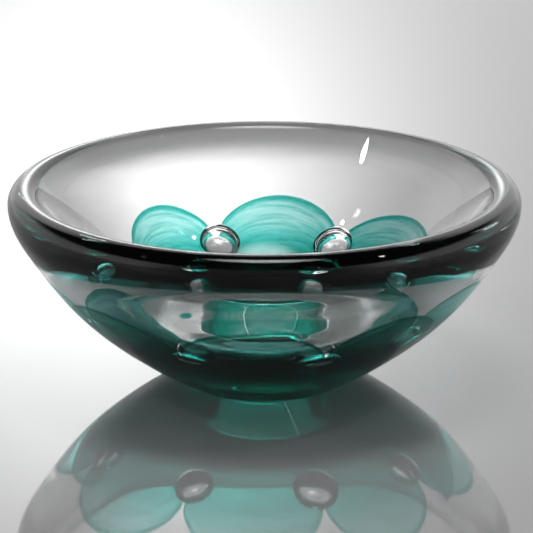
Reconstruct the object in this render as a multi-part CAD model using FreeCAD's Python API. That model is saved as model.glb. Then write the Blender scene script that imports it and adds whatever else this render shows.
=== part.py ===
import FreeCAD, Part
import math
import os

from FreeCAD import Vector

# Heavy hot-worked bowl of clear glass with a flower of green glass sealed inside its wall.
# It is made of gathers, one over the other: a clear lining that holds the well, eight green
# petals and their hub on the outside of the lining, and a thick clear casing over all of it.
# A pit is pressed into the middle of the well, and an air bubble is trapped at each notch
# between two petals.
# Millimetres. Origin at the centre of the ground base, +Z up the axis of the bowl, -Y the front.
# A station is a (radius, height) pair in the half plane that is turned about the axis.

# Bowl
RIM_RADIUS = 130.0
LIP_RADIUS = 8.5
LIP_CENTRE_HEIGHT = 93.0
LIP_ROLL = 52.0                     # degrees from the crest to where the lip runs into the well
BASE_RADIUS = 44.0
OUTER_STATIONS = [(69.9, 16.7), (99.1, 41.8), (120.1, 69.6)]

# Well and the pit in its floor
WELL_STATIONS = [(98.0, 76.0), (74.5, 46.6), (55.0, 35.0)]
PIT_RADIUS = 27.0
PIT_SPREAD = 7.0                    # half the width of its sloping wall
PIT_EDGE_HEIGHT = 33.5
PIT_DEPTH = 18.0

# Colour layer between lining and casing
LAYER_FLOOR_HEIGHT = 9.0
LAYER_STATIONS = [(40.0, 17.0), (80.0, 37.0), (110.0, 66.0)]
LAYER_END_RADIUS = 110.0            # the sheet that the petals are cut from ends here
ROOT_THICKNESS = 5.0                # of the colour at the axis, from where it was pulled out thin
TIP_THICKNESS = 1.0

# Flower. Each row is one petal, from the front one round by +X to the back: the direction of
# the seam after it in degrees from the front, the radius that its tip reaches, and the orbit
# and size of the bubble in that seam. It was drawn by hand, so no two petals are alike.
PETALS = [
    (18.8, 106.0, 78.0, 11.0),
    (57.0, 107.0, 81.0, 9.5),
    (106.0, 105.0, 82.0, 10.0),
    (153.2, 106.0, 86.0, 11.5),
    (197.2, 107.5, 86.0, 11.5),
    (233.0, 107.0, 82.0, 9.5),
    (289.0, 105.0, 81.0, 10.0),
    (333.8, 107.0, 78.0, 9.5),
]
PETAL_ARCH = 20.0                   # from the notches of a petal to its tip
PETAL_GAP = 0.6
HUB_RADIUS = 12.0

# Each bubble is a flattened ball that lies in its seam, its middle above the colour layer.
BUBBLE_FLATNESS = 0.4
BUBBLE_LIFT = 3.8

AXIS_UP = Vector(0, 0, 1)
CENTRE = Vector(0, 0, 0)


def point(station):
    """Place a station in the XZ half plane."""
    radius, height = station
    return Vector(radius, 0, height)


def smooth_curve(stations, start_direction, end_direction):
    """Curve through the stations that leaves and arrives along the given directions."""
    curve = Part.BSplineCurve()
    curve.interpolate(
        Points=[point(station) for station in stations],
        InitialTangent=point(start_direction),
        FinalTangent=point(end_direction),
    )
    return curve


def turned(edges):
    """Solid made by turning a closed outline once about the axis."""
    face = Part.Face(Part.Wire(Part.__sortEdges__(edges)))
    return face.revolve(CENTRE, AXIS_UP, 360)


def line(start, end):
    return Part.LineSegment(point(start), point(end)).toShape()


def lip_station(turn):
    """Station on the round of the rim, turned inward from the crest by so many degrees."""
    angle = math.radians(turn)
    return (
        lip_centre_radius - LIP_RADIUS * math.sin(angle),
        LIP_CENTRE_HEIGHT + LIP_RADIUS * math.cos(angle),
    )


def lip_arc(start_turn, end_turn):
    middle = lip_station((start_turn + end_turn) / 2)
    return Part.Arc(point(lip_station(start_turn)), point(middle), point(lip_station(end_turn))).toShape()


# Outlines in the half plane

lip_centre_radius = RIM_RADIUS - LIP_RADIUS
rim_height = LIP_CENTRE_HEIGHT + LIP_RADIUS
roll_angle = math.radians(LIP_ROLL)
pit_floor_height = PIT_EDGE_HEIGHT - PIT_DEPTH

base_middle = (0.0, 0.0)
base_edge = (BASE_RADIUS, 0.0)
pit_edge = (PIT_RADIUS + PIT_SPREAD, PIT_EDGE_HEIGHT)
pit_wall = (PIT_RADIUS, PIT_EDGE_HEIGHT - PIT_DEPTH / 2)
pit_floor_edge = (PIT_RADIUS - PIT_SPREAD, pit_floor_height)
pit_middle = (0.0, pit_floor_height)
layer_middle = (0.0, LAYER_FLOOR_HEIGHT)

inward = (-1, 0)
outward = (1, 0)
upward = (0, 1)
off_the_lip = (-math.cos(roll_angle), -math.sin(roll_angle))
off_the_base = (0.87, 0.49)
up_to_the_crest = (0.2, 1)

outer_curve = smooth_curve([base_edge] + OUTER_STATIONS + [lip_station(-90)], off_the_base, upward)
well_curve = smooth_curve([lip_station(LIP_ROLL)] + WELL_STATIONS + [pit_edge], off_the_lip, inward)
pit_curve = smooth_curve([pit_edge, pit_wall, pit_floor_edge], inward, inward)
layer_curve = smooth_curve([layer_middle] + LAYER_STATIONS + [lip_station(0)], outward, up_to_the_crest)


def layer_at(radius):
    """Place and direction of the colour layer at a radius."""
    low, high = layer_curve.FirstParameter, layer_curve.LastParameter
    while high - low > 1e-6:
        middle = (low + high) / 2
        if layer_curve.value(middle).x < radius:
            low = middle
        else:
            high = middle
    return layer_curve.value(low), layer_curve.tangent(low)[0]


def make_casing():
    """Outer gather: ground base, outer wall and the outer half of the rounded rim."""
    return turned([
        line(base_middle, base_edge),
        outer_curve.toShape(),
        lip_arc(-90, 0),
        layer_curve.toShape(),
        line(layer_middle, base_middle),
    ])


def make_lining():
    """First gather: the inner half of the rounded rim, the well and its pit."""
    return turned([
        layer_curve.toShape(),
        lip_arc(0, LIP_ROLL),
        well_curve.toShape(),
        pit_curve.toShape(),
        line(pit_floor_edge, pit_middle),
        line(pit_middle, layer_middle),
    ])


def make_colour_sheet():
    """Sheet under the lining, thick at the axis and thin at its end, from which the petals are cut."""
    lower_stations = []
    steps = 9
    for step in range(steps + 1):
        share = step / steps
        place, direction = layer_at(LAYER_END_RADIUS * share)
        thickness = ROOT_THICKNESS + (TIP_THICKNESS - ROOT_THICKNESS) * share
        lower_stations.append((place.x + direction.z * thickness, place.z - direction.x * thickness))
    end_direction = (direction.x, direction.z)
    end_station = (place.x, place.z)
    upper = layer_curve.copy()
    upper.segment(layer_curve.FirstParameter, layer_curve.parameter(place))
    lower_stations[0] = (0.0, LAYER_FLOOR_HEIGHT - ROOT_THICKNESS)
    lower = smooth_curve(lower_stations, outward, end_direction)
    return turned([
        upper.toShape(),
        line(end_station, lower_stations[-1]),
        lower.toShape(),
        line(lower_stations[0], layer_middle),
    ])


def polar(radius, degrees):
    """Point in plan, with the direction counted from the front towards +X."""
    angle = math.radians(degrees)
    return Vector(radius * math.sin(angle), -radius * math.cos(angle), 0)


def tongue(first_seam, last_seam, tip_radius):
    """Plan outline of one petal: straight sides along its seams from the hub, then one round arch."""
    notch_radius = tip_radius - PETAL_ARCH
    middle = (first_seam + last_seam) / 2
    gap_at_hub = math.degrees(PETAL_GAP / 2 / HUB_RADIUS)
    gap_at_notch = math.degrees(PETAL_GAP / 2 / notch_radius)
    first_hub = polar(HUB_RADIUS, first_seam + gap_at_hub)
    last_hub = polar(HUB_RADIUS, last_seam - gap_at_hub)
    first_notch = polar(notch_radius, first_seam + gap_at_notch)
    last_notch = polar(notch_radius, last_seam - gap_at_notch)
    outline = Part.Wire([
        Part.LineSegment(first_hub, first_notch).toShape(),
        Part.Arc(first_notch, polar(tip_radius, middle), last_notch).toShape(),
        Part.LineSegment(last_notch, last_hub).toShape(),
        Part.Arc(last_hub, polar(HUB_RADIUS, middle), first_hub).toShape(),
    ])
    return Part.Face(outline).extrude(Vector(0, 0, rim_height))


def make_hub(sheet):
    """Green core where the petals meet."""
    core = Part.makeCylinder(HUB_RADIUS, rim_height)
    return sheet.common(core)


def make_bubble(seam, orbit_radius, size):
    """Air trapped at a notch: a flattened ball that lies along the layer, its short axis across the wall."""
    ball = Part.makeSphere(size)
    squash = FreeCAD.Matrix()
    squash.scale(1, 1, BUBBLE_FLATNESS)
    ball = ball.transformGeometry(squash)
    place, direction = layer_at(orbit_radius)
    ball.rotate(CENTRE, Vector(0, 1, 0), -math.degrees(math.atan2(direction.z, direction.x)))
    ball.translate(place + Vector(-direction.z, 0, direction.x) * BUBBLE_LIFT)
    ball.rotate(CENTRE, AXIS_UP, seam - 90)
    return ball


bubbles = [make_bubble(seam, orbit_radius, size) for seam, _, orbit_radius, size in PETALS]
sheet = make_colour_sheet()

parts = {}
first_seam = PETALS[-1][0] - 360
for number, (last_seam, tip_radius, _, _) in enumerate(PETALS, start=1):
    petal = sheet.common(tongue(first_seam, last_seam, tip_radius))
    parts[f"petal_{number}"] = petal.cut(bubbles)
    first_seam = last_seam
parts["petal_hub"] = make_hub(sheet)
colour = list(parts.values())
parts["outer_casing"] = make_casing().cut(colour).cut(bubbles)
parts["inner_lining"] = make_lining().cut(bubbles)

os.makedirs("parts", exist_ok=True)
for name, shape in parts.items():
    shape.exportStep(f"parts/{name}.step")
    print(name, shape.ShapeType, len(shape.Solids), shape.isValid(), round(shape.Volume / 1000, 2), "ml")
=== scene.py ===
import math

import bpy
import numpy as np
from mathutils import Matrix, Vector


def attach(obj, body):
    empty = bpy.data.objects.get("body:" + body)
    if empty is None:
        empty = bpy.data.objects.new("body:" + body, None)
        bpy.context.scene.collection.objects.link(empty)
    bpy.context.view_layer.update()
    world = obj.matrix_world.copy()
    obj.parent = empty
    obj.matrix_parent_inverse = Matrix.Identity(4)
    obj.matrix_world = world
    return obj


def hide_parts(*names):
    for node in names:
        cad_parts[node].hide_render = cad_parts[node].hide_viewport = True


# Looks of the cased glass bowl. Every clear surface that meets air refracts. The surfaces where
# one mass of glass is fused to the next are there, but they bend no light, as in the real bowl.
# Sizes are in millimetres and are turned into metres where a mesh is made.

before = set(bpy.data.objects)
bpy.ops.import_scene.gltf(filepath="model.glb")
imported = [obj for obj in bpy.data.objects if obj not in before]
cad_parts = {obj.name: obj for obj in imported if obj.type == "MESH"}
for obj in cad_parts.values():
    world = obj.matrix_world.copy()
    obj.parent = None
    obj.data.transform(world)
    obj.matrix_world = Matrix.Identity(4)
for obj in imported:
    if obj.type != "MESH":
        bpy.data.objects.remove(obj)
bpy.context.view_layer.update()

MM = 0.001
WHITE = (1.0, 1.0, 1.0, 1.0)

# Bowl. A station is a (radius, height) pair in the half plane that is turned about the axis.
RIM_RADIUS = 130.0
LIP_RADIUS = 8.5
LIP_CENTRE_HEIGHT = 93.0
LIP_ROLL = 52.0                     # degrees from the crest to where the lip runs into the well
BASE_RADIUS = 44.0
OUTER_STATIONS = [(69.9, 16.7), (99.1, 41.8), (120.1, 69.6)]

# Well and the pit in its floor
WELL_STATIONS = [(98.0, 76.0), (74.5, 46.6), (55.0, 35.0)]
PIT_RADIUS = 27.0
PIT_SPREAD = 7.0                    # half the width of its sloping wall
PIT_EDGE_HEIGHT = 33.5
PIT_DEPTH = 18.0

# Colour layer: the fused face between lining and casing, with the green glass just under it
LAYER_FLOOR_HEIGHT = 9.0
LAYER_STATIONS = [(40.0, 17.0), (80.0, 37.0), (110.0, 66.0)]

# Flower. Each row is one petal, from the front one round by +X to the back: the direction of
# the seam after it in degrees from the front, the radius that its tip reaches, and the orbit
# and size of the bubble in that seam. It was drawn by hand, so no two petals are alike.
PETALS = [
    (18.8, 106.0, 78.0, 11.0),
    (57.0, 107.0, 81.0, 9.5),
    (106.0, 105.0, 82.0, 10.0),
    (153.2, 106.0, 86.0, 11.5),
    (197.2, 107.5, 86.0, 11.5),
    (233.0, 107.0, 82.0, 9.5),
    (289.0, 105.0, 81.0, 10.0),
    (333.8, 107.0, 78.0, 9.5),
]
PETAL_ARCH = 20.0                   # from the notches of a petal to its tip
PETAL_GAP = 0.6
PETAL_COVER = 0.3                   # clear glass between a petal and the fused face
HUB_RADIUS = 12.0

# Thickness of the green glass, as (radius, thickness) pairs, and the bead along a petal's edge
COLOUR_STATIONS = [(0.0, 1.5), (34.0, 1.8), (60.0, 3.2), (97.0, 0.45)]
BEAD_THICKNESS = 2.6
BEAD_WIDTH = 2.6
EDGE_ROUND = 1.2                    # width over which the bead rounds off at the very edge
EDGE_THICKNESS = 0.02
INNER_SHARE = 0.3                   # part of a petal about its middle line that counts as far inside
FAR_FROM_EDGE = 30.0

# Bubbles. Each is a flattened ball that lies in its seam, its middle above the colour layer.
BUBBLE_FLATNESS = 0.4
BUBBLE_LIFT = 3.8
NOTCH_SHARE = 0.85                  # radius of the gap in the colour, as a share of the bubble's

# Fineness of the meshes
WALL_POINTS = 140
PIT_POINTS = 40
LAYER_POINTS = 200
BASE_POINTS = 24
OUTER_LIP_POINTS = 36
INNER_LIP_POINTS = 24
PIT_FLOOR_POINTS = 12
BOWL_SEGMENTS = 256
BUBBLE_COLUMNS = 40
BUBBLE_ROWS = 24
ROWS_TO_NOTCH = 90
ROWS_IN_ARCH = 60
PETAL_COLUMNS = 90
HUB_POINTS = 16
HUB_SIDE_POINTS = 3
HUB_SEGMENTS = 96

# Clear glass. Ripples are counted per metre along each axis.
GLASS_IOR = 1.5
OUTER_RIPPLE = 0.25
INNER_RIPPLE = 0.03
RIPPLE_SPREAD = (14.0, 14.0, 90.0)
RIPPLE_DETAIL = 1.0
RIPPLE_DEPTH = 1.0

# Green glass. Its tint runs in streaks, from dark to none between two levels of the noise.
GREEN_TINT = (0.0, 0.75, 0.71, 1.0)
GREEN_DENSITY = 1900.0              # per metre
STREAK_SPREAD = (1.6, 26.0, 1.0)
STREAK_LENGTH = 50.0                # of petal that is one unit of the streaks' chart
STREAK_DETAIL = 4.0
STREAK_DISTORTION = 0.6
STREAK_DARK = (0.45, 0.8, 0.75, 1.0)
STREAK_DARK_BELOW = 0.35
STREAK_CLEAR_ABOVE = 0.62

# Floor
FLOOR_HALF = 6000.0
FLOOR_DROP = 0.2                    # under the base, so that the two faces don't coincide
FLOOR_TONE = 0.36
FLOOR_COOLNESS = 1.02               # of its blue over its red and green
FLOOR_ROUGHNESS = 0.9
FLOOR_COAT_ROUGHNESS = 0.04
FLOOR_COAT_IOR = 1.6

# Camera. It looks down past the centre of the base, which lies under the middle of the view.
CAMERA_DISTANCE = 1522.0
CAMERA_DROP = math.radians(17.65)
CAMERA_RISE = 54.4
CAMERA_SHIFT_X = 1.0
LENS = 199.0
LIGHT_BOUNCES = 32
STRAIGHT_THROUGH_BOUNCES = 64

# Studio light, by direction. Sides, heights and edges are parts of a unit direction, and a fade
# is the stretch beside an edge over which a light comes up. +Y is behind the bowl.
PANEL_LEVEL = 1.1
PANEL_SIDE = 0.42
PANEL_SIDE_FADE = 0.15
PANEL_TOP = 0.7
PANEL_TOP_FADE = 0.1
BACK_FADE = 0.4
SPOT_LEVEL = 3.9
SPOT_SIDE = -0.05
SPOT_WIDTH = 0.09
SPOT_HEIGHT = 0.3
SPOT_TALLNESS = 0.09
TOP_LEVEL = 9.0
TOP_EDGE = 0.985
TOP_FADE = 0.02
BAND_LEVEL = 0.9
BAND_TOP = 0.55
BAND_FULL = 0.35                    # height below which the band has its full level
VIEWER_SIDE = -0.85                 # the band is dim behind the viewer, up to this Y
VIEWER_SIDE_END = -0.5              # and has its full level from this Y on
VIEWER_SHARE = 0.2                  # of that level that is left behind the viewer
LAMP_LEVEL = 120.0
LAMPS = [(-0.62, -0.2, 0.76), (0.55, -0.1, 0.83)]
LAMP_EDGE = 0.9999
LAMP_FADE = 0.0001
AMBIENT_LEVEL = 0.03

# Material slots of the clear pieces, and of the green ones
CLEAR = 0
FUSED = 1
GREEN = 0

INWARD = (-1.0, 0.0)
OUTWARD = (1.0, 0.0)
UPWARD = (0.0, 1.0)
OFF_THE_BASE = (0.87, 0.49)
UP_TO_THE_CREST = (0.2, 0.98)


# Outlines

def spline_slopes(stations, chords, start_direction, end_direction):
    """Slope at each station that makes a cubic spline bend smoothly through all of them."""
    size = len(stations)
    system = np.eye(size)
    right_side = np.zeros((size, 2))
    right_side[0] = start_direction
    right_side[-1] = end_direction
    for i in range(1, size - 1):
        before, after = 1 / chords[i - 1], 1 / chords[i]
        system[i, i - 1:i + 2] = before, 2 * (before + after), after
        step_before = (stations[i] - stations[i - 1]) * before ** 2
        step_after = (stations[i + 1] - stations[i]) * after ** 2
        right_side[i] = 3 * (step_before + step_after)
    return np.linalg.solve(system, right_side)


def smooth_curve(stations, start_direction, end_direction, count):
    """Cubic spline through the stations, as count points and their directions of travel."""
    stations = np.array(stations, float)
    chords = np.linalg.norm(np.diff(stations, axis=0), axis=1)
    knots = np.concatenate([[0.0], np.cumsum(chords)])
    slopes = spline_slopes(stations, chords, start_direction, end_direction)
    at = np.linspace(0.0, knots[-1], count)
    span = np.clip(np.searchsorted(knots, at, side="right") - 1, 0, len(chords) - 1)
    chord = chords[span][:, None]
    share = ((at - knots[span]) / chords[span])[:, None]
    start, end = stations[span], stations[span + 1]
    leave, arrive = slopes[span] * chord, slopes[span + 1] * chord
    places = (
        (2 * share**3 - 3 * share**2 + 1) * start + (share**3 - 2 * share**2 + share) * leave
        + (3 * share**2 - 2 * share**3) * end + (share**3 - share**2) * arrive
    )
    directions = (
        (6 * share**2 - 6 * share) * (start - end)
        + (3 * share**2 - 4 * share + 1) * leave
        + (3 * share**2 - 2 * share) * arrive
    )
    return places, directions / np.linalg.norm(directions, axis=1)[:, None]


def straight(start, end, count):
    """Straight outline from one station to another."""
    places = np.linspace(start, end, count)
    direction = np.subtract(end, start) / np.linalg.norm(np.subtract(end, start))
    return places, np.tile(direction, (count, 1))


def lip_arc(start_turn, end_turn, count):
    """Round of the rim, with turns in degrees counted inward from the crest."""
    turns = np.radians(np.linspace(start_turn, end_turn, count))
    places = np.stack([
        RIM_RADIUS - LIP_RADIUS - LIP_RADIUS * np.sin(turns),
        LIP_CENTRE_HEIGHT + LIP_RADIUS * np.cos(turns),
    ], axis=1)
    return places, np.stack([-np.cos(turns), -np.sin(turns)], axis=1)


def backwards(outline):
    places, directions = outline
    return places[::-1], -directions[::-1]


roll = math.radians(LIP_ROLL)
off_the_lip = (-math.cos(roll), -math.sin(roll))
rim_edge = (RIM_RADIUS, LIP_CENTRE_HEIGHT)
crest = (RIM_RADIUS - LIP_RADIUS, LIP_CENTRE_HEIGHT + LIP_RADIUS)
lip_foot = (crest[0] - LIP_RADIUS * math.sin(roll), LIP_CENTRE_HEIGHT + LIP_RADIUS * math.cos(roll))
base_middle = (0.0, 0.0)
base_edge = (BASE_RADIUS, 0.0)
layer_middle = (0.0, LAYER_FLOOR_HEIGHT)
pit_floor_height = PIT_EDGE_HEIGHT - PIT_DEPTH
pit_edge = (PIT_RADIUS + PIT_SPREAD, PIT_EDGE_HEIGHT)
pit_wall = (PIT_RADIUS, PIT_EDGE_HEIGHT - PIT_DEPTH / 2)
pit_floor_edge = (PIT_RADIUS - PIT_SPREAD, pit_floor_height)
pit_middle = (0.0, pit_floor_height)

outer_outline = smooth_curve([base_edge] + OUTER_STATIONS + [rim_edge], OFF_THE_BASE, UPWARD, WALL_POINTS)
well_outline = smooth_curve([lip_foot] + WELL_STATIONS + [pit_edge], off_the_lip, INWARD, WALL_POINTS)
pit_outline = smooth_curve([pit_edge, pit_wall, pit_floor_edge], INWARD, INWARD, PIT_POINTS)
layer_outline = smooth_curve(
    [layer_middle] + LAYER_STATIONS + [crest], OUTWARD, UP_TO_THE_CREST, LAYER_POINTS)


def layer_height(radius):
    places, _ = layer_outline
    return np.interp(radius, places[:, 0], places[:, 1])


def layer_slope(radius):
    """Angle of the colour layer above the horizontal at a radius."""
    reach = 0.5
    return np.arctan2(layer_height(radius + reach) - layer_height(radius - reach), 2 * reach)


# Meshes

def mesh_object(name, points, faces, normals=None, face_slots=None):
    """Smooth mesh object from points in millimetres, with its true normals where they are known."""
    mesh = bpy.data.meshes.new(name)
    mesh.from_pydata((np.array(points) * MM).tolist(), [], faces)
    mesh.polygons.foreach_set("use_smooth", [True] * len(mesh.polygons))
    if face_slots is not None:
        mesh.polygons.foreach_set("material_index", face_slots)
    if normals is not None:
        mesh.normals_split_custom_set_from_vertices(np.array(normals).tolist())
    piece = bpy.data.objects.new(name, mesh)
    bpy.context.scene.collection.objects.link(piece)
    return piece


def turned_shell(outlines, segments):
    """Points, faces, normals and slots of a closed shell turned about the axis.

    Each entry is an outline and the material slot of its faces. The solid lies to the left of
    travel, so the normal is the direction of travel turned a quarter turn to the right.
    """
    points, normals, faces, slots = [], [], [], []
    angles = np.linspace(0.0, 2 * math.pi, segments, endpoint=False)
    cosines, sines = np.cos(angles), np.sin(angles)
    on_the_axis = 1e-6
    for (places, directions), slot in outlines:
        rings = []
        for (radius, height), (along_r, along_z) in zip(places, directions):
            start = len(points)
            if radius < on_the_axis:
                rings.append([start] * segments)
                points.append((0.0, 0.0, height))
                normals.append((0.0, 0.0, -along_r))
                continue
            rings.append(list(range(start, start + segments)))
            points.extend(zip(radius * cosines, radius * sines, np.full(segments, height)))
            normals.extend(zip(along_z * cosines, along_z * sines, np.full(segments, -along_r)))
        for lower, upper in zip(rings, rings[1:]):
            for here in range(segments):
                after = (here + 1) % segments
                corners = [lower[here], lower[after], upper[after], upper[here]]
                faces.append(tuple(dict.fromkeys(corners)))
                slots.append(slot)
    return points, faces, normals, slots


def bubble_shell(centre, axes, radii, first_point):
    """Wall of a bubble: an ellipsoid whose normals point into the air that it holds."""
    points, normals, faces = [], [], []
    for row in range(1, BUBBLE_ROWS):
        polar_angle = math.pi * row / BUBBLE_ROWS
        for column in range(BUBBLE_COLUMNS):
            turn = 2 * math.pi * column / BUBBLE_COLUMNS
            unit = (
                math.sin(polar_angle) * math.cos(turn),
                math.sin(polar_angle) * math.sin(turn),
                math.cos(polar_angle),
            )
            points.append(centre + sum(axis * radius * part for axis, radius, part in zip(axes, radii, unit)))
            outward = sum(axis * part / radius for axis, radius, part in zip(axes, radii, unit))
            normals.append(-outward / np.linalg.norm(outward))
    for sign in (1, -1):
        points.append(centre + sign * axes[2] * radii[2])
        normals.append(-sign * axes[2])
    top, bottom = len(points) - 2, len(points) - 1
    last_row = (BUBBLE_ROWS - 2) * BUBBLE_COLUMNS
    for column in range(BUBBLE_COLUMNS):
        after = (column + 1) % BUBBLE_COLUMNS
        faces.append((top, after, column))
        faces.append((bottom, last_row + column, last_row + after))
        for row in range(BUBBLE_ROWS - 2):
            here, below = row * BUBBLE_COLUMNS, (row + 1) * BUBBLE_COLUMNS
            faces.append((here + column, here + after, below + after, below + column))
    faces = [tuple(first_point + corner for corner in face) for face in faces]
    return points, faces, normals


def wall_axes(radius, turn):
    """Directions up along the colour layer, around the bowl, and across the wall."""
    slope = float(layer_slope(radius))
    away = np.array([math.sin(turn), -math.cos(turn), 0.0])
    around = np.array([math.cos(turn), math.sin(turn), 0.0])
    along = away * math.cos(slope) + np.array([0.0, 0.0, math.sin(slope)])
    return along, around, np.cross(along, around)


def place_at(radius, turn, height):
    return np.array([radius * math.sin(turn), -radius * math.cos(turn), height])


def make_casing():
    """Outer gather, with the walls of all the bubbles that are trapped on its inside."""
    base = straight(base_middle, base_edge, BASE_POINTS)
    rim = lip_arc(-90, 0, OUTER_LIP_POINTS)
    inside = backwards(layer_outline)
    points, faces, normals, slots = turned_shell(
        [(base, CLEAR), (outer_outline, CLEAR), (rim, CLEAR), (inside, FUSED)], BOWL_SEGMENTS)
    for seam, _, orbit, size in PETALS:
        turn = math.radians(seam)
        axes = wall_axes(orbit, turn)
        centre = place_at(orbit, turn, float(layer_height(orbit))) + axes[2] * BUBBLE_LIFT
        radii = (size, size, size * BUBBLE_FLATNESS)
        bubble_points, bubble_faces, bubble_normals = bubble_shell(centre, axes, radii, len(points))
        points.extend(bubble_points)
        faces.extend(bubble_faces)
        normals.extend(bubble_normals)
        slots.extend([CLEAR] * len(bubble_faces))
    return mesh_object("casing_glass", points, faces, normals, slots)


def make_lining():
    """First gather: the inner half of the rim, the well and its pit."""
    rim = lip_arc(0, LIP_ROLL, INNER_LIP_POINTS)
    pit_floor = straight(pit_floor_edge, pit_middle, PIT_FLOOR_POINTS)
    outlines = [(layer_outline, FUSED)]
    outlines += [(outline, CLEAR) for outline in (rim, well_outline, pit_outline, pit_floor)]
    points, faces, normals, slots = turned_shell(outlines, BOWL_SEGMENTS)
    return mesh_object("lining_glass", points, faces, normals, slots)


def colour_thickness(radius):
    stations = np.array(COLOUR_STATIONS)
    return np.interp(radius, stations[:, 0], stations[:, 1])


def petal_span(number):
    """Direction of a petal's middle line and half its width, in radians from the front."""
    before, after = PETALS[number - 1][0], PETALS[number][0]
    if before > after:
        before -= 360.0
    before, after = math.radians(before), math.radians(after)
    return (before + after) / 2, (after - before) / 2


def distance_to_bubble(number, radius, turn):
    """Distance in the layer from the gap that a bubble leaves in the colour."""
    seam, _, orbit, size = PETALS[number]
    along = (radius - orbit) / math.cos(float(layer_slope(orbit)))
    around = radius * ((turn - math.radians(seam) + math.pi) % (2 * math.pi) - math.pi)
    return np.hypot(along, around) - size * NOTCH_SHARE


def bubble_notch(number, radius):
    """Angle by which a petal steps back from its seam to leave room for the bubble."""
    _, _, orbit, size = PETALS[number]
    along = (radius - orbit) / math.cos(float(layer_slope(orbit)))
    return np.sqrt(np.clip((size * NOTCH_SHARE) ** 2 - along ** 2, 0.0, None)) / radius


def petal_rows(number):
    """Radii of a petal's rows from hub to tip, and how far each is past the notches, up to 1."""
    notch_radius = PETALS[number][1] - PETAL_ARCH
    to_notch = np.linspace(HUB_RADIUS, notch_radius, ROWS_TO_NOTCH)
    arch = np.sin(np.linspace(0.0, math.pi / 2, ROWS_IN_ARCH))[1:]
    radii = np.concatenate([to_notch, notch_radius + PETAL_ARCH * arch])[:, None]
    return radii, np.clip((radii - notch_radius) / PETAL_ARCH, 0.0, 1.0)


def petal_turns(number, radii, past_notch):
    """Directions of a petal's points, row by row, with its columns closer towards both sides."""
    middle, half = petal_span(number)
    reach = (half - PETAL_GAP / 2 / radii) * np.sqrt(1 - past_notch ** 2)
    start = middle - np.maximum(reach - bubble_notch(number - 1, radii), 0.0)
    end = middle + np.maximum(reach - bubble_notch(number, radii), 0.0)
    share = np.sin(np.linspace(-math.pi / 2, math.pi / 2, PETAL_COLUMNS + 1))[None, :] / 2 + 0.5
    return start + (end - start) * share


def distance_to_edge(number, radii, past_notch, turn, side):
    """Distance of a petal's points from its outline and from the gaps for its two bubbles."""
    _, half = petal_span(number)
    never_zero = 1e-9
    ring = np.hypot(past_notch, side)
    steepness = np.hypot(past_notch / PETAL_ARCH, side / (half * radii)) + never_zero
    edge = (1 - ring) * ring / steepness
    edge = np.where(ring < INNER_SHARE, FAR_FROM_EDGE, edge)
    for neighbour in (number - 1, number):
        edge = np.minimum(edge, distance_to_bubble(neighbour, radii, turn))
    return np.clip(edge, 0.0, None)


def petal_thickness(radii, edge):
    """Thin sheet with a thick bead along its edge, rounded off at the very edge."""
    thickness = colour_thickness(radii)
    thickness = thickness + BEAD_THICKNESS * np.clip(1 - edge / BEAD_WIDTH, 0.0, 1.0) ** 2
    return thickness * np.sqrt(np.clip(edge / EDGE_ROUND, 0.0, 1.0)) + EDGE_THICKNESS


def under_the_layer(radii, turn, depth):
    """Points at a depth square to the colour layer."""
    slope = layer_slope(radii)
    radius = radii + np.sin(slope) * depth
    level = layer_height(radii) - np.cos(slope) * depth
    grid = np.stack(np.broadcast_arrays(radius * np.sin(turn), -radius * np.cos(turn), level), axis=-1)
    return grid.reshape(-1, 3)


def leaf_faces(rows, columns):
    """Faces of two grids of points, one over the other, and of the border that closes them."""
    grid = np.arange(rows * columns).reshape(rows, columns)
    corners = np.stack([grid[:-1, :-1], grid[:-1, 1:], grid[1:, 1:], grid[1:, :-1]], axis=-1)
    corners = corners.reshape(-1, 4)
    sides = np.stack([corners[:, ::-1], corners + grid.size], axis=1).reshape(-1, 4)
    border = np.concatenate([grid[0], grid[1:, -1], grid[-1, -2::-1], grid[-2:0:-1, 0]])
    after = np.roll(border, -1)
    closing = np.stack([border, after, after + grid.size, border + grid.size], axis=1)
    return np.concatenate([sides, closing]).tolist()


def add_streak_chart(piece, radii, side):
    """UV map of a petal: across it, and outward from arch to arch."""
    arch_level = radii - PETAL_ARCH * np.sqrt(np.clip(1 - side ** 2, 0.0, 1.0))
    chart = np.stack(np.broadcast_arrays(side, arch_level / STREAK_LENGTH), axis=-1).reshape(-1, 2)
    chart = np.concatenate([chart, chart])
    corners = np.empty(len(piece.data.loops), dtype=np.int32)
    piece.data.loops.foreach_get("vertex_index", corners)
    layer = piece.data.uv_layers.new(name="streaks")
    layer.uv.foreach_set("vector", chart[corners].ravel())


def make_petal(number):
    """One petal: a leaf of green glass under the fused face, with a thick rolled edge."""
    radii, past_notch = petal_rows(number)
    turn = petal_turns(number, radii, past_notch)
    middle, half = petal_span(number)
    side = (turn - middle) / half
    thickness = petal_thickness(radii, distance_to_edge(number, radii, past_notch, turn, side))
    upper = under_the_layer(radii, turn, PETAL_COVER)
    lower = under_the_layer(radii, turn, PETAL_COVER + thickness)
    piece = mesh_object(f"petal_glass_{number + 1}", np.concatenate([upper, lower]), leaf_faces(*turn.shape))
    add_streak_chart(piece, radii, side)
    return piece


def make_hub():
    """Core of the flower, where the petals run together."""
    radii = np.linspace(0.0, HUB_RADIUS, HUB_POINTS)
    top = layer_height(radii) - PETAL_COVER
    lower = np.stack([radii, top - colour_thickness(radii)], axis=1)
    upper = np.stack([radii, top], axis=1)[::-1]
    side = straight(lower[-1], upper[0], HUB_SIDE_POINTS)
    flat = np.tile(OUTWARD, (HUB_POINTS, 1))
    points, faces, normals, slots = turned_shell(
        [((lower, flat), GREEN), (side, GREEN), ((upper, -flat), GREEN)], HUB_SEGMENTS)
    return mesh_object("hub_glass", points, faces, normals, slots)


# Materials

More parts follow.
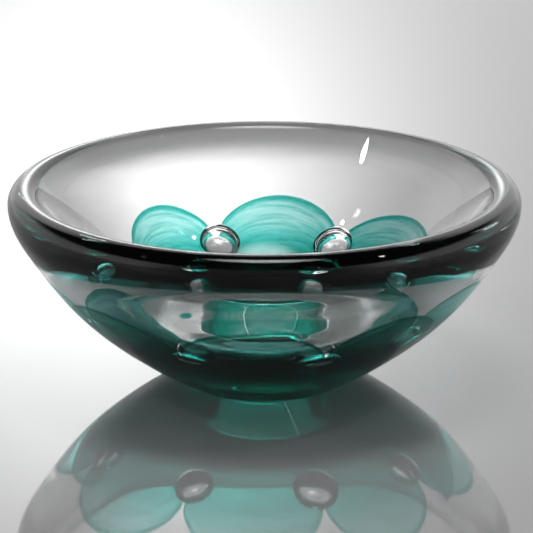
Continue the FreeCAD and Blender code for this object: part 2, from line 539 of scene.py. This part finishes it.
def new_material(name):
    material = bpy.data.materials.new(name)
    material.use_nodes = True
    material.node_tree.nodes.clear()
    output = material.node_tree.nodes.new("ShaderNodeOutputMaterial")
    return material, material.node_tree, output


def add_principled(tree, output, settings):
    """Principled shader on the surface, with a value on each socket that is named."""
    shader = tree.nodes.new("ShaderNodeBsdfPrincipled")
    for socket, value in settings.items():
        shader.inputs[socket].default_value = value
    tree.links.new(shader.outputs[0], output.inputs["Surface"])
    return shader


def add_noise(tree, coordinates, spread, detail, distortion=0.0):
    """Noise over coordinates that are spread by their own amount along each axis."""
    stretch = tree.nodes.new("ShaderNodeVectorMath")
    stretch.operation = "MULTIPLY"
    stretch.inputs[1].default_value = spread
    tree.links.new(coordinates, stretch.inputs[0])
    noise = tree.nodes.new("ShaderNodeTexNoise")
    noise.inputs["Scale"].default_value = 1.0
    noise.inputs["Detail"].default_value = detail
    noise.inputs["Distortion"].default_value = distortion
    tree.links.new(stretch.outputs[0], noise.inputs["Vector"])
    return noise.outputs[0]


def clear_glass(name, ripple):
    """Clear glass with the faint ripple of a surface that was tooled while hot."""
    material, tree, output = new_material(name)
    shader = add_principled(tree, output, {
        "Base Color": WHITE,
        "Roughness": 0.0,
        "IOR": GLASS_IOR,
        "Transmission Weight": 1.0,
    })
    coordinates = tree.nodes.new("ShaderNodeTexCoord")
    noise = add_noise(tree, coordinates.outputs["Object"], RIPPLE_SPREAD, RIPPLE_DETAIL)
    bump = tree.nodes.new("ShaderNodeBump")
    bump.inputs["Strength"].default_value = ripple
    bump.inputs["Distance"].default_value = RIPPLE_DEPTH * MM
    tree.links.new(noise, bump.inputs["Height"])
    tree.links.new(bump.outputs[0], shader.inputs["Normal"])
    return material


def fused_glass():
    """Face where two masses of glass are fused: light goes straight through."""
    material, tree, output = new_material("fused_face")
    shader = tree.nodes.new("ShaderNodeBsdfTransparent")
    tree.links.new(shader.outputs[0], output.inputs["Surface"])
    return material


def green_glass():
    """Green glass drawn out in arcs, so its tint runs in streaks along the outline of the petal.

    It is fused into clear glass on all sides, so it bends no light of its own.
    """
    material, tree, output = new_material("green_glass")
    shader = add_principled(tree, output, {"Roughness": 0.0, "IOR": 1.0, "Transmission Weight": 1.0})
    chart = tree.nodes.new("ShaderNodeUVMap")
    chart.uv_map = "streaks"
    noise = add_noise(tree, chart.outputs[0], STREAK_SPREAD, STREAK_DETAIL, STREAK_DISTORTION)
    ramp = tree.nodes.new("ShaderNodeValToRGB")
    dark, clear = ramp.color_ramp.elements
    dark.position = STREAK_DARK_BELOW
    dark.color = STREAK_DARK
    clear.position = STREAK_CLEAR_ABOVE
    clear.color = WHITE
    tree.links.new(noise, ramp.inputs[0])
    tree.links.new(ramp.outputs[0], shader.inputs["Base Color"])
    volume = tree.nodes.new("ShaderNodeVolumeAbsorption")
    volume.inputs["Color"].default_value = GREEN_TINT
    volume.inputs["Density"].default_value = GREEN_DENSITY
    tree.links.new(volume.outputs[0], output.inputs["Volume"])
    return material


def floor_finish():
    """Plain pale floor under a thin gloss."""
    material, tree, output = new_material("floor_finish")
    add_principled(tree, output, {
        "Base Color": (FLOOR_TONE, FLOOR_TONE, FLOOR_TONE * FLOOR_COOLNESS, 1.0),
        "Roughness": FLOOR_ROUGHNESS,
        "Specular IOR Level": 0.0,
        "Coat Weight": 1.0,
        "Coat Roughness": FLOOR_COAT_ROUGHNESS,
        "Coat IOR": FLOOR_COAT_IOR,
    })
    return material


# Pieces

outer_clear = clear_glass("casing_clear", OUTER_RIPPLE)
inner_clear = clear_glass("lining_clear", INNER_RIPPLE)
fused = fused_glass()
green = green_glass()

casing = make_casing()
lining = make_lining()
for piece, clear, node in ((casing, outer_clear, "outer_casing"), (lining, inner_clear, "inner_lining")):
    piece.data.materials.append(clear)
    piece.data.materials.append(fused)
    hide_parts(node)
    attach(piece, "root")

flower = [(make_petal(number), f"petal_{number + 1}") for number in range(len(PETALS))]
flower.append((make_hub(), "petal_hub"))
for piece, node in flower:
    piece.data.materials.append(green)
    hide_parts(node)
    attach(piece, "root")


# Stage

def make_floor():
    corners = [
        (side * FLOOR_HALF, depth * FLOOR_HALF, -FLOOR_DROP)
        for side, depth in ((-1, -1), (1, -1), (1, 1), (-1, 1))
    ]
    floor = mesh_object("floor", corners, [(0, 1, 2, 3)])
    floor.data.materials.append(floor_finish())
    return floor


class StudioSky:
    """Maths nodes that work out how bright the studio is in each direction."""

    def __init__(self, tree):
        self.tree = tree
        self.direction = tree.nodes.new("ShaderNodeTexCoord").outputs["Generated"]
        parts = tree.nodes.new("ShaderNodeSeparateXYZ")
        tree.links.new(self.direction, parts.inputs[0])
        self.x, self.y, self.z = parts.outputs

    def combine(self, operation, first, second):
        """One maths node on two numbers or sockets."""
        node = self.tree.nodes.new("ShaderNodeMath")
        node.operation = operation
        for socket, value in zip(node.inputs, (first, second)):
            if isinstance(value, (int, float)):
                socket.default_value = value
            else:
                self.tree.links.new(value, socket)
        return node.outputs[0]

    def product(self, first, *others):
        for other in others:
            first = self.combine("MULTIPLY", first, other)
        return first

    def rise(self, value, low, high):
        """Smooth step from 0 at low to 1 at high, which may be the smaller of the two."""
        node = self.tree.nodes.new("ShaderNodeMapRange")
        node.interpolation_type = "SMOOTHSTEP"
        node.inputs["From Min"].default_value = low
        node.inputs["From Max"].default_value = high
        self.tree.links.new(value, node.inputs["Value"])
        return node.outputs[0]

    def behind_the_bowl(self):
        return self.rise(self.y, 0.0, BACK_FADE)

    def back_panel(self):
        """Broad panel behind the bowl."""
        return self.product(
            self.rise(self.x, -PANEL_SIDE - PANEL_SIDE_FADE, -PANEL_SIDE),
            self.rise(self.x, PANEL_SIDE + PANEL_SIDE_FADE, PANEL_SIDE),
            self.behind_the_bowl(),
            self.rise(self.z, PANEL_TOP + PANEL_TOP_FADE, PANEL_TOP - PANEL_TOP_FADE),
            PANEL_LEVEL,
        )

    def hot_spot(self):
        """Bright spot on the panel that falls off as a bell curve."""
        across = self.combine("DIVIDE", self.combine("SUBTRACT", self.x, SPOT_SIDE), SPOT_WIDTH)
        upward = self.combine("DIVIDE", self.combine("SUBTRACT", self.z, SPOT_HEIGHT), SPOT_TALLNESS)
        spread = self.combine("ADD", self.product(across, across), self.product(upward, upward))
        bell = self.combine("POWER", math.e, self.product(spread, -1.0))
        return self.product(bell, self.behind_the_bowl(), SPOT_LEVEL)

    def top_box(self):
        """Small soft box straight above."""
        return self.product(self.rise(self.z, TOP_EDGE - TOP_FADE, TOP_EDGE + TOP_FADE), TOP_LEVEL)

    def low_band(self):
        """Pale band low down all round, dimmer behind the viewer."""
        off_the_viewer = self.rise(self.y, VIEWER_SIDE, VIEWER_SIDE_END)
        share = self.combine("ADD", self.product(off_the_viewer, 1.0 - VIEWER_SHARE), VIEWER_SHARE)
        return self.product(self.rise(self.z, BAND_TOP, BAND_FULL), share, BAND_LEVEL)

    def lamp(self, direction):
        """Small bright lamp that makes a glint."""
        facing = self.tree.nodes.new("ShaderNodeVectorMath")
        facing.operation = "DOT_PRODUCT"
        facing.inputs[1].default_value = Vector(direction).normalized()
        self.tree.links.new(self.direction, facing.inputs[0])
        return self.product(self.rise(facing.outputs["Value"], LAMP_EDGE - LAMP_FADE, LAMP_EDGE), LAMP_LEVEL)


def studio_light():
    """Soft studio: panel and hot spot behind, soft box above, low band all round, and lamps."""
    world = bpy.data.worlds.new("studio")
    bpy.context.scene.world = world
    world.use_nodes = True
    tree = world.node_tree
    tree.nodes.clear()
    output = tree.nodes.new("ShaderNodeOutputWorld")
    background = tree.nodes.new("ShaderNodeBackground")
    background.inputs["Color"].default_value = WHITE
    tree.links.new(background.outputs[0], output.inputs[0])
    sky = StudioSky(tree)
    level = sky.combine("ADD", sky.back_panel(), sky.hot_spot())
    level = sky.combine("MAXIMUM", level, sky.top_box())
    level = sky.combine("MAXIMUM", level, sky.low_band())
    for direction in LAMPS:
        level = sky.combine("ADD", level, sky.lamp(direction))
    tree.links.new(sky.combine("ADD", level, AMBIENT_LEVEL), background.inputs["Strength"])


def make_camera():
    """Camera that looks down at the bowl from the front."""
    forward = Vector((0.0, math.cos(CAMERA_DROP), -math.sin(CAMERA_DROP)))
    upright = Vector((0.0, math.sin(CAMERA_DROP), math.cos(CAMERA_DROP)))
    sideways = Vector((CAMERA_SHIFT_X, 0.0, 0.0))
    camera_data = bpy.data.cameras.new("camera")
    camera_data.lens = LENS
    camera = bpy.data.objects.new("camera", camera_data)
    camera.location = (upright * CAMERA_RISE - forward * CAMERA_DISTANCE + sideways) * MM
    camera.rotation_mode = "QUATERNION"
    camera.rotation_quaternion = forward.to_track_quat("-Z", "Y")
    bpy.context.scene.collection.objects.link(camera)
    return camera


floor = make_floor()
studio_light()

scene = bpy.context.scene
scene.camera = make_camera()
scene.view_settings.view_transform = "Standard"
scene.cycles.max_bounces = LIGHT_BOUNCES
scene.cycles.transmission_bounces = LIGHT_BOUNCES
scene.cycles.transparent_max_bounces = STRAIGHT_THROUGH_BOUNCES
